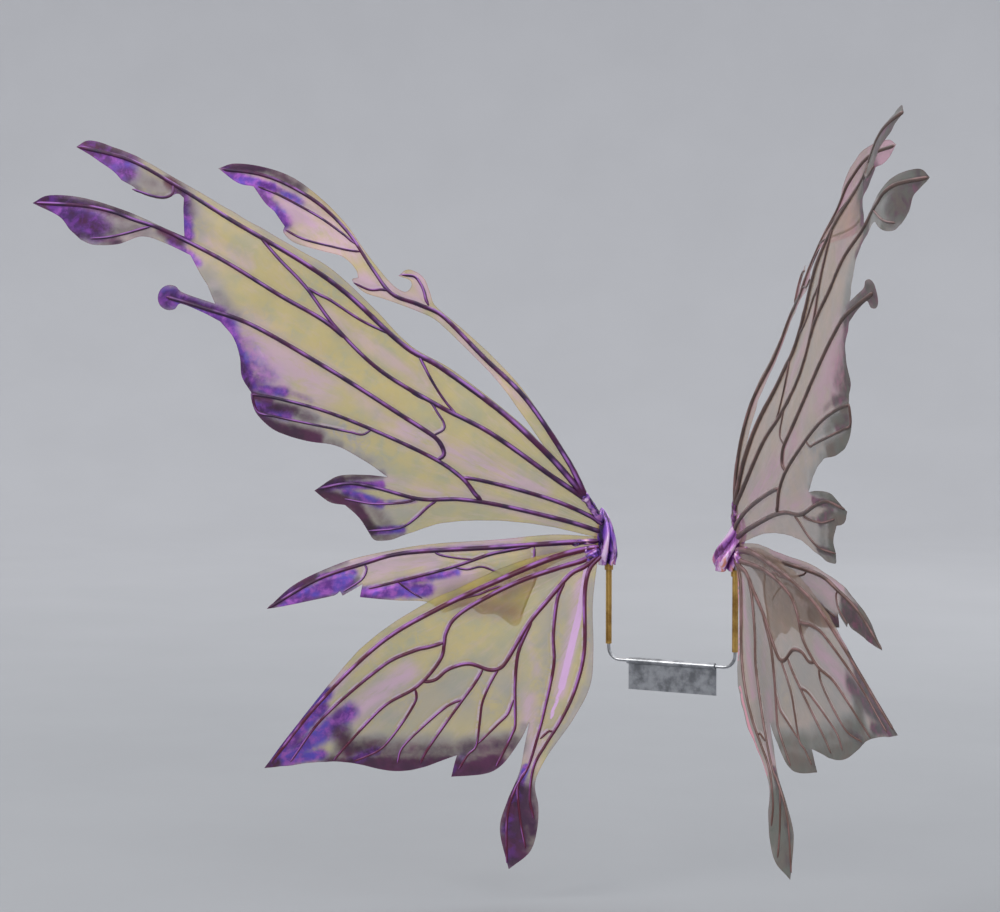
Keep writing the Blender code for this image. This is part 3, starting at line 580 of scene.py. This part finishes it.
def film_material(side):
    """Laminated iridescent film: olive gold with rosy streaks, plum-black and violet inked edges,
    painted highlights beside the ribs and in strips, and painted shade towards the roots.
    """
    n = Nodes(f"{side}_iridescent_film")
    tone = {key: srgb(*value) for key, value in PALETTES[side].items()}
    flat = n.attribute("flat", "Vector")
    polar = n.attribute("polar", "Vector")
    masks = {name: n.attribute(name) for name in MASKS}
    vein = n.attribute("vein")
    edge = n.attribute("edge")
    broad = n.noise(flat, 2.2, 3.0)
    streak = n.noise(polar, 3.0, 5.0, 0.6, 0.4, (9.0, 0.8, 1.0))
    mottle = n.noise(flat, 7.0, 5.0, 0.6, 0.8)
    smoke = n.noise(flat, 9.0, 8.0, 0.62, 0.3)
    cloud = n.noise(flat, 8.0, 6.0, 0.6, 0.3)
    hue = n.noise(flat, 3.4, 4.0, 0.55, 0.4)

    colour = n.mix(n.ramp(broad, 0.35, 0.65), tone["film"], tone["film_cool"])
    colour = n.mix(n.times(n.ramp(streak, 0.48, 0.72), 0.6), colour, tone["streak"])
    colour = n.mix(n.times(masks["grey"], 0.8), colour, tone["grey"])
    gold = n.times(masks["gold"], n.ramp(mottle, 0.36, 0.62))
    colour = n.mix(n.times(gold, 0.75), colour, tone["gold"])
    band = n.times(n.ramp(vein, 8.0, 3.0), n.ramp(mottle, 0.38, 0.6))
    colour = n.mix(n.times(band, 0.6), colour, tone["band"])
    pink = n.times(masks["pink"], n.ramp(streak, 0.2, 0.6))
    colour = n.mix(pink, colour, tone["pink"])
    # Painted shade: plum-brown darkening near the wing roots from the smoke strokes.
    painted_root_shade = n.times(masks["smoke"], n.ramp(mottle, 0.0, 0.5))
    colour = n.mix(n.times(painted_root_shade, 0.9), colour, tone["smoke"])

    # Painted highlight: a light line beside each rib, in patches, on the side that faces LIT_FROM.
    painted_glint = n.times(n.ramp(vein, 4.6, 2.8), n.attribute("lit"))
    painted_glint = n.times(painted_glint, n.ramp(cloud, 0.36, 0.56))
    colour = n.mix(n.times(painted_glint, 0.8), colour, tone["painted_glint"])
    # Painted highlight strips from the highlight strokes, broken up by the streaks.
    painted_gleam = n.ramp(masks["painted_gleam"], 0.3, 0.6)
    colour = n.mix(n.times(painted_gleam, n.ramp(streak, 0.1, 0.4)), colour, tone["painted_gleam"])

    haze = n.times(n.ramp(masks["dark"], 0.0, 0.45), 0.75)
    colour = n.mix(haze, colour, tone["grey"])
    violet = ink_cover(n, masks["violet"], smoke, 0.08, 0.85)
    violet_ink = n.mix(n.ramp(hue, 0.36, 0.64), tone["violet"], tone["violet_blue"])
    violet_ink = n.mix(n.ramp(cloud, 0.42, 0.68), violet_ink, tone["violet_rose"])
    colour = n.mix(violet, colour, violet_ink)
    dark = ink_cover(n, masks["dark"], smoke, 0.05, 0.9)
    dark_ink = n.mix(n.ramp(hue, 0.38, 0.66), tone["dark"], tone["dark_warm"])
    dark_ink = n.mix(n.times(masks["violet"], n.ramp(cloud, 0.42, 0.66)), dark_ink,
                     tone["violet"])
    colour = n.mix(dark, colour, dark_ink)
    colour = n.mix(n.times(n.ramp(edge, 1.8, 0.2), 0.4), colour, tone["rib"])

    cover = n.math("MAXIMUM", violet, dark)
    n.set(Base_Color=colour, Alpha=n.span(cover, FILM_COVER, INK_COVER),
          Metallic=n.times(violet, 0.35),
          Roughness=n.span(n.times(n.math("ADD", cover, cloud), 0.5), 0.26, 0.4),
          IOR=FILM_IOR[side], Thin_Film_Thickness=SHIMMER[side], Thin_Film_IOR=1.6)
    creases = n.noise(polar, 3.0, 3.0, 0.5, 0.2, (12.0, 1.0, 1.0))
    tent = n.times(n.ramp(vein, 6.5, 1.5), 1.2)
    relief = n.math("ADD", n.math("ADD", creases, tent), n.times(cloud, 0.2))
    n.bump(relief, 0.4, 0.0012)
    return n.material


def ink_cover(n, mask, smoke, low, high):
    """Ink strength 0..1 with a wispy front where the mask fades out."""
    wisp = n.times(n.math("SUBTRACT", smoke, 0.5), n.ramp(mask, 0.02, 0.4))
    return n.ramp(n.math("ADD", mask, n.times(wisp, 0.6)), low, high)


def rib_material(side):
    """Wire under painted film: dark plum gloss that turns magenta and violet in patches, with a painted
    highlight in patches along its side that faces the light.
    """
    n = Nodes(f"{side}_painted_rib")
    tone = {key: srgb(*value) for key, value in PALETTES[side].items()}
    flat = n.attribute("flat", "Vector")
    lit_crest = n.attribute("lit_crest")
    warm = n.attribute("warm")
    patch = n.noise(flat, 4.0, 4.0, 0.6)
    grain = n.noise(flat, 40.0, 3.0, 0.6)
    colour = n.mix(n.ramp(patch, 0.4, 0.62), tone["rib_deep"], tone["rib"])
    colour = n.mix(warm, colour, tone["rib_warm"])
    # Painted highlight: lavender in patches on the rib's lit side.
    painted_shine = n.times(lit_crest, n.ramp(n.noise(flat, 3.2, 2.0, 0.5), 0.4, 0.62))
    colour = n.mix(n.times(painted_shine, 0.85), colour, tone["rib_highlight"])
    n.set(Base_Color=colour, Roughness=n.span(grain, 0.25, 0.45), Coat_Weight=0.15,
          Coat_Roughness=0.15)
    n.bump(grain, 0.25, 0.0005)
    return n.material


def wrap_material(side):
    """Pleated iridescent wrap: deep violet painted in the folds as shade; pink, lavender and near-white
    painted highlights on the pleat tops; orange painted highlights low down.
    """
    n = Nodes(f"{side}_wrap_film")
    fold_shade, body, light = WRAP_TONES[side]
    flat = n.attribute("flat", "Vector")
    lit_crest = n.attribute("lit_crest")
    low = n.attribute("low")
    patch = n.noise(flat, 2.5, 3.0, 0.5, 0.5, (1.0, 1.0, 0.4))
    fine = n.noise(flat, 9.0, 3.0, 0.5, 0.4, (1.0, 1.0, 0.3))
    colour = n.mix(n.ramp(patch, 0.4, 0.6), srgb(*fold_shade), srgb(*body))
    # Painted shade: the folds between the pleats darken.
    colour = n.mix(n.ramp(lit_crest, 0.35, 0.0), colour, srgb(*fold_shade))
    # Painted highlights on the pleat tops, near-white on the brightest.
    bright = n.times(n.ramp(lit_crest, 0.4, 0.92), n.ramp(patch, 0.3, 0.52))
    colour = n.mix(bright, colour, srgb(*light))
    colour = n.mix(n.times(n.ramp(bright, 0.75, 1.0), 0.8), colour, srgb(250, 222, 254))
    # Painted orange highlights on the lower part.
    painted_orange_highlight = n.times(low, n.ramp(patch, 0.52, 0.62))
    colour = n.mix(n.times(painted_orange_highlight, lit_crest), colour, srgb(240, 150, 120))
    n.set(Base_Color=colour, Roughness=n.span(fine, 0.1, 0.3), Metallic=0.4, Coat_Weight=0.5,
          Coat_Roughness=0.08)
    n.bump(fine, 0.35, 0.0008)
    return n.material


def metal_material(name, dark, light, grain_stretch):
    """Drawn metal: fine lengthwise scratches, a few dull patches."""
    n = Nodes(name)
    where = n.add("ShaderNodeTexCoord").outputs["Object"]
    scratch = n.noise(where, 900.0, 3.0, 0.6, 0.0, grain_stretch)
    dull = n.noise(where, 60.0, 4.0, 0.6)
    colour = n.mix(n.ramp(dull, 0.35, 0.7), light, dark)
    wear = n.times(n.math("ADD", scratch, dull), 0.5)
    n.set(Base_Color=colour, Roughness=n.span(wear, 0.2, 0.48), Metallic=1.0)
    n.bump(scratch, 0.15, 0.0002)
    return n.material


# --- meshes ---
def link(name, data):
    obj = bpy.data.objects.new(name, data)
    bpy.context.collection.objects.link(obj)
    return obj


def add_object(name, vertices, faces, material, attributes):
    mesh = bpy.data.meshes.new(name)
    mesh.from_pydata([tuple(v) for v in vertices], [], faces)
    for key, values in attributes.items():
        if isinstance(values[0], tuple):
            layer = mesh.attributes.new(key, "FLOAT_VECTOR", "POINT")
            layer.data.foreach_set("vector", [x for value in values for x in value])
        else:
            mesh.attributes.new(key, "FLOAT", "POINT").data.foreach_set("value", values)
    mesh.polygons.foreach_set("use_smooth", [True] * len(mesh.polygons))
    mesh.materials.append(material)
    return link(name, mesh)


def paint_values(points, paint):
    """Mask values at each flat point from the listed strokes, solid inside and soft outside."""
    values = {name: np.zeros(len(points)) for name in MASKS}
    for mask, start, end, radius, *rest in paint:
        strength = rest[0] if rest else 1.0
        fade = np.clip(1.7 - gap_to_segment(points, start, end) / radius, 0.0, 1.7) / 1.7
        values[mask] = np.maximum(values[mask], strength * fade * fade * (3 - 2 * fade))
    return {name: column.tolist() for name, column in values.items()}


def film_points(outline, edge_tree):
    """The outline and a triangular grid of points inside it."""
    left, right = min(p.x for p in outline), max(p.x for p in outline)
    low, high = min(p.y for p in outline), max(p.y for p in outline)
    row_step = FILM_CELL * math.sqrt(0.75)
    grid = [(left + (column + 0.5 * (row % 2)) * FILM_CELL, low + row * row_step)
            for row in range(int((high - low) / row_step) + 1)
            for column in range(int((right - left) / FILM_CELL) + 1)]
    within = inside(np.array(grid), outline)
    return list(outline) + [Vector(p) for p, keep in zip(grid, within)
                            if keep and edge_tree.find((*p, 0.0))[2] > 0.6 * FILM_CELL]


def film_piece(name, panel, outline_points, rib_paths, paint, material):
    """The film filling the outline, with slack between the ribs and flutter along the free edge."""
    outline = smooth_curve(outline_points, True, EDGE_STEP)
    rib_tree = tree_of([smooth_curve(path, False, NEAR_STEP) for path in rib_paths])
    edge_tree = tree_of([smooth_curve(outline_points, True, NEAR_STEP)])
    edges = [(i, (i + 1) % len(outline)) for i in range(len(outline))]
    points, _, triangles, _, _, _ = delaunay_2d_cdt(film_points(outline, edge_tree), edges, [], 1, 1e-5)
    nearest = [rib_tree.find((p.x, p.y, 0.0)) for p in points]
    vein = [found[2] for found in nearest]
    lit = [max(0.0, (p - found[0].xy).dot(LIT_FROM) / max(found[2], 0.1))
           for p, found in zip(points, nearest)]
    edge = [edge_tree.find((p.x, p.y, 0.0))[2] for p in points]
    vertices = []
    for p, near_rib, near_edge in zip(points, vein, edge):
        slack = smooth_step(near_rib / 16.0)
        soft = noise.noise(Vector((p.x / 46.0, p.y / 46.0, 0.0)))
        flutter = noise.noise(Vector((p.x / 17.0, p.y / 17.0, 4.0))) * smooth_step(1 - near_edge / 22.0)
        vertices.append(panel.point(p.x, p.y, slack * (2.2 * soft + 1.5 * flutter)))
    attributes = paint_values(np.array([tuple(p) for p in points]), paint)
    attributes.update(vein=vein, lit=lit, edge=edge, flat=[(p.x / 100, p.y / 100, 0.0) for p in points],
                      polar=[(math.atan2(p.y, p.x + 20.0), p.length / 100, 0.0) for p in points])
    faces = [tuple(t) for t in triangles]
    return add_object(name, vertices, faces, material, attributes)


def tube_faces(count, around, first=0):
    """Faces of a tube through equal rings of vertices, capped at both ends."""
    faces = []
    for a in range(first, first + (count - 1) * around, around):
        for k in range(around):
            n = (k + 1) % around
            faces.append((a + k, a + n, a + around + n, a + around + k))
    faces.append(tuple(first + k for k in reversed(range(around))))
    faces.append(tuple(first + (count - 1) * around + k for k in range(around)))
    return faces


def closed_object(name, vertices, faces, attributes, material):
    """An object whose faces all look outwards."""
    obj = add_object(name, vertices, faces, material, attributes)
    bm = bmesh.new()
    bm.from_mesh(obj.data)
    bmesh.ops.recalc_face_normals(bm, faces=bm.faces)
    bm.to_mesh(obj.data)
    bm.free()
    return obj


def rib_shell(panel, path, root_radius, tip_radius, first_vertex):
    """Lens-shaped tube along the flat path, drawn in at both ends."""
    total = sum((b - a).length for a, b in zip(path, path[1:]))
    vertices, flats, lit_crests = [], [], []
    run = 0.0
    for i, p in enumerate(path):
        if i:
            run += (p - path[i - 1]).length
        t = run / total
        radius = root_radius + (tip_radius - root_radius) * t ** 0.8
        radius *= 1.0 + 0.06 * noise.noise(Vector((p.x / 9.0, p.y / 9.0, 7.0)))
        radius *= min(1.0, 0.4 + run / 8.0, 0.35 + (total - run) / 6.0)
        centre, normal, across = panel.frame(path, i)
        # The value stored per vertex is a painted highlight: a strip along the side of the rib that
        # faces LIT_FROM.
        toward_light = (panel.point(p.x + LIT_FROM.x, p.y + LIT_FROM.y) - centre).normalized()
        bright = Vector((0.9 * across.dot(toward_light), 0.6)).normalized()
        for k in range(VEIN_SIDES):
            angle = 2 * math.pi * k / VEIN_SIDES
            width = math.cos(angle) * (1.0 + 0.18 * abs(math.cos(angle)) ** 5)
            height = math.sin(angle) * 0.9
            vertices.append(centre + (across * width + normal * height) * (radius * MM))
            flats.append((p.x / 100, p.y / 100, height * 0.01))
            facing = math.cos(angle) * bright.x + abs(math.sin(angle)) * bright.y
            lit_crests.append(max(0.0, (facing - 0.78) / 0.22))
    return vertices, tube_faces(len(path), VEIN_SIDES, first_vertex), flats, lit_crests


def rib_piece(name, panel, shells, material, warm):
    """One object holding one or more rib shells: (path, root radius, tip radius)."""
    parts = [], [], [], []
    for path, root_radius, tip_radius in shells:
        for whole, piece in zip(parts, rib_shell(panel, path, root_radius, tip_radius, len(parts[0]))):
            whole += piece
    vertices, faces, flats, lit_crests = parts
    attributes = {"flat": flats, "lit_crest": lit_crests, "warm": [warm] * len(vertices)}
    return closed_object(name, vertices, faces, attributes, material)


# Root hoods: lean of the peak outwards, drift of the skirt inwards (mm), widening of the skirt.
HOODS = {"left": (7.0, -3.0, 1.1), "right": (8.0, 13.0, 1.3)}


def hood_piece(name, side, material):
    """Root knot: a pleated hood of film gathered at its peak and flared into a skirt."""
    sign = SIDES[side]
    peak_lean, drift, widen = HOODS[side]
    count, around = 30, 120
    top, bottom, pleats = 37.0, -26.0, 2.5
    vertices, flats, lit_crests, lows = [], [], [], []
    for i in range(count):
        t = i / (count - 1)
        body = 14.0 * math.sin(math.pi * min(0.5, 0.56 * t ** 0.75)) + 0.8
        body *= 1.0 + (widen - 1.0) * t
        tuck = 1.0 - 0.3 * smooth_step((t - 0.8) / 0.2)
        lean = peak_lean * (1.0 - t) ** 1.4
        inward = drift * smooth_step((t - 0.3) / 0.6)
        for k in range(around):
            angle = 2 * math.pi * k / around
            turn = angle + 1.2 * t + 0.4 * math.sin(2 * angle + 1.0) * (0.4 + 0.6 * t)
            pleat = abs(math.sin(pleats * turn)) ** 0.6
            crease = 0.5 + 0.5 * math.sin(4 * turn + 5.0 * t)
            depth = 0.14 + 0.34 * smooth_step(t / 0.7)
            radius = body * tuck * (1.0 - depth * (1.0 - pleat) - 0.25 * depth * (1.0 - crease))
            x = sign * (STEM_X + lean - inward) + radius * math.cos(angle)
            y = ROOT.y - lean * 0.7 + radius * math.sin(angle) * 0.92
            height = top + (bottom - 4.0 * pleat * t - top) * t
            vertices.append(Vector((x, y, ROOT.z + height)) * MM)
            flats.append((x / 20, y / 20, height / 20))
            # Height of the pleat: the wrap material turns it into a painted highlight, and where it is
            # low, into painted fold shade.
            lit_crests.append(pleat * (0.55 + 0.45 * crease))
            lows.append(smooth_step((t - 0.55) / 0.35))
    attributes = {"flat": flats, "lit_crest": lit_crests, "low": lows}
    return closed_object(name, vertices, tube_faces(count, around), attributes, material)


def sleeve_piece(name, panel, path, radii, material):
    """Film crumpled round the ends of gathered wires: faceted, with painted highlights on the crumples
    that are dull at its root and bright at its tip.
    """
    centre_line = smooth_curve(path, False, 1.5)
    around, count = 32, len(centre_line)
    vertices, flats, lit_crests, lows = [], [], [], []
    for i, p in enumerate(centre_line):
        t = i / (count - 1)
        centre, normal, across = panel.frame(centre_line, i)
        radius = radii[0] + (radii[1] - radii[0]) * smooth_step(t)
        close = min(1.0, 0.35 + 5.0 * min(t, 1.0 - t))
        for k in range(around):
            angle = 2 * math.pi * k / around
            offset = across * math.cos(angle) + normal * math.sin(angle) * 0.7
            crumple = noise.noise((centre + offset * radius * MM) * 150.0)
            facet = 1.0 + 0.1 * math.cos(5 * angle + 4 * t) + 0.4 * crumple
            vertices.append(centre + offset * (radius * close * facet * MM))
            flats.append((p.x / 20, p.y / 20, angle / 6))
            lit_crests.append(max(0.0, min(1.0, 0.5 + 1.2 * crumple)) * smooth_step(0.25 + 1.5 * t))
            lows.append(0.6 * smooth_step(1.0 - t))
    attributes = {"flat": flats, "lit_crest": lit_crests, "low": lows}
    return closed_object(name, vertices, tube_faces(count, around), attributes, material)


# --- object ---
def rib_name(side, node):
    """The rib on wire_hind_main is left_rib_hind_main or right_rib_hind_main."""
    return f"{side}_rib_" + node.split("_", 1)[1]


def register(piece, body, node=None):
    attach(piece, body)
    if node:
        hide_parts(node)


def panel_pieces(side, key, panel, outline, ribs, fine, paint, body, materials, warm):
    """The film, main ribs and fine ribs of one panel."""
    all_paths = [path for *_, path in ribs] + [path for _, path in fine]
    film = film_piece(f"{side}_{key}_film", panel, outline, all_paths, paint, materials[f"{side}_film"])
    register(film, body, f"{side}_film_{key}")
    for node, root_radius, tip_radius, path in ribs:
        curve = smooth_curve(path, False, VEIN_STEP)
        rib = rib_piece(rib_name(side, node), panel, [(curve, root_radius, tip_radius)],
                        materials[f"{side}_rib"], warm)
        register(rib, body, f"{side}_{node}")
    shells = [(smooth_curve(path, False, VEIN_STEP), radius, radius * 0.8) for radius, path in fine]
    branches = rib_piece(f"{side}_{key}_fine_ribs", panel, shells, materials[f"{side}_rib"], warm)
    register(branches, body)


def wing_half(side, materials):
    """Every replaced piece of one half."""
    wing, hindwing = f"{side}_wing", f"{side}_hindwing"
    fore = Panel(side, FORE_SWEEP, fore_camber, fore_twist)
    mid = Panel(side, MID_SWEEP, nothing)
    hind = Panel(side, HIND_SWEEP, hind_camber, fan=FAN[side])
    panel_pieces(side, "fore", fore, FORE_OUTLINE, FORE_RIBS, FORE_FINE,
                 FORE_PAINT + STREAMER_PAINT[side], wing, materials, 0.0)
    panel_pieces(side, "mid", mid, MID_OUTLINE, MID_RIBS, MID_FINE, MID_PAINT, wing, materials, 0.1)
    panel_pieces(side, "hind", hind, HIND_OUTLINE, HIND_RIBS, HIND_FINE,
                 HIND_PAINT + HIND_HIGHLIGHT_AND_SHADE[side], hindwing, materials, 0.75)
    wrap = materials[f"{side}_wrap"]
    hood = hood_piece(f"{side}_root_hood", side, wrap)
    register(hood, wing, f"{side}_root_knot")
    for name, panel, path, radii, body, node in (
            ("fore_sleeve", fore, [(9, 20), (20, 36), (34, 55)], (4.0, 5.0), wing, "ferrule_fore"),
            ("mid_sleeve", mid, [(14, -2), (27, -3), (43, -4)], (2.8, 3.7), wing, None),
            ("hind_sleeve", hind, [(10, -12), (19, -17), (29, -23)], (4.8, 4.2), hindwing,
             "ferrule_hind"),
            ("hind_cuff", hind, [(14, -9), (22, -10), (31, -12)], (3.4, 3.9), hindwing, None)):
        sleeve = sleeve_piece(f"{side}_{name}", panel, path, radii, wrap)
        register(sleeve, body, node and f"{side}_{node}")


def hardware(materials):
    for metal, nodes in (("steel", ("yoke", "back_plate", "left_stem", "right_stem")),
                         ("brass", ("left_socket", "right_socket", "left_collar", "right_collar"))):
        for node in nodes:
            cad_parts[node].material_slots[0].material = materials[metal]


# --- studio ---
CAMERA_AZIMUTH, CAMERA_ELEVATION = 30.0, 3.0       # degrees; the azimuth is an assumption
CAMERA_DISTANCE = 3.0
CAMERA_OFFSET = (-0.1971, 0.0991)      # camera's place across and up from the wing roots
CAMERA_LENS = 93.9


def camera():
    a, e = math.radians(CAMERA_AZIMUTH), math.radians(CAMERA_ELEVATION)
    back = Vector((math.sin(a) * math.cos(e), -math.cos(a) * math.cos(e), math.sin(e)))
    across = Vector((math.cos(a), math.sin(a), 0.0))
    up = back.cross(across)
    place = ROOT * MM + back * CAMERA_DISTANCE + across * CAMERA_OFFSET[0] + up * CAMERA_OFFSET[1]
    data = bpy.data.cameras.new("camera")
    data.lens = CAMERA_LENS
    obj = link("camera", data)
    turn = Matrix((across, up, back)).transposed().to_4x4()
    obj.matrix_world = Matrix.Translation(place) @ turn
    bpy.context.scene.camera = obj


def area_light(name, place, size, power, colour):
    data = bpy.data.lights.new(name, "AREA")
    data.shape = "SQUARE"
    data.size = size
    data.energy = power
    data.color = colour
    obj = link(name, data)
    obj.location = place
    aim = Vector((0.0, -0.15, 0.15)) - Vector(place)
    obj.rotation_euler = aim.to_track_quat("-Z", "Y").to_euler()


def studio_material():
    """Matt paint, a little deeper under the wings, where the floor catches more of the light."""
    n = Nodes("studio_paint")
    where = n.add("ShaderNodeTexCoord").outputs["Object"]
    reach = n.add("ShaderNodeVectorMath", operation="LENGTH")
    n.link(where, reach.inputs[0])
    speckle = n.noise(where, 3.0, 3.0)
    near = n.mix(n.ramp(speckle, 0.2, 0.8), srgb(148, 150, 154), srgb(151, 153, 157))
    far = n.mix(n.ramp(speckle, 0.2, 0.8), srgb(182, 183, 187), srgb(185, 186, 190))
    n.set(Base_Color=n.mix(n.ramp(reach.outputs["Value"], 0.5, 5.5), near, far), Roughness=0.9)
    return n.material


def studio():
    """Pale floor that sweeps up into a wall all round, open at the top."""
    floor, bend, radius, rim, around = -0.26, 2.6, 7.5, 3.2, 64
    profile = [(0.0, floor), (1.5, floor), (3.0, floor), (radius - bend, floor)]
    for k in range(1, 17):
        angle = math.pi / 2 * k / 16
        profile.append((radius - bend + bend * math.sin(angle), floor + bend * (1 - math.cos(angle))))
    profile.append((radius, rim))
    vertices, faces = [Vector((0, 0, floor))], []
    for r, z in profile[1:]:
        for k in range(around):
            angle = 2 * math.pi * k / around
            vertices.append(Vector((r * math.cos(angle), r * math.sin(angle), z)))
    for k in range(around):
        faces.append((0, 1 + k, 1 + (k + 1) % around))
    for i in range(len(profile) - 2):
        for k in range(around):
            m = (k + 1) % around
            a, b = 1 + i * around, 1 + (i + 1) * around
            faces.append((a + k, b + k, b + m, a + m))
    add_object("studio_floor", vertices, faces, studio_material(), {})
    world = bpy.data.worlds.new("studio_world")
    world.use_nodes = True
    background = world.node_tree.nodes["Background"]
    background.inputs["Color"].default_value = (0.97, 0.98, 1.0, 1.0)
    background.inputs["Strength"].default_value = 1.15
    bpy.context.scene.world = world
    area_light("key", (-1.8, -3.2, 2.6), 2.0, 60.0, (1.0, 0.98, 0.95))
    area_light("fill", (2.6, -2.4, 1.6), 2.0, 24.0, (0.97, 0.98, 1.0))
    area_light("back", (0.5, 3.2, 2.4), 2.5, 30.0, (1.0, 1.0, 1.0))
    bpy.context.scene.view_settings.view_transform = "Standard"


def main():
    camera()
    studio()
    materials = {
        "left_film": film_material("left"), "right_film": film_material("right"),
        "left_rib": rib_material("left"), "right_rib": rib_material("right"),
        "left_wrap": wrap_material("left"), "right_wrap": wrap_material("right"),
        "steel": metal_material("spring_steel", srgb(120, 122, 126), srgb(176, 178, 182),
                                (1.0, 1.0, 0.04)),
        "brass": metal_material("brass", srgb(150, 112, 58), srgb(206, 168, 96), (1.0, 1.0, 0.06))}
    for side in SIDES:
        wing_half(side, materials)
    hardware(materials)


main()
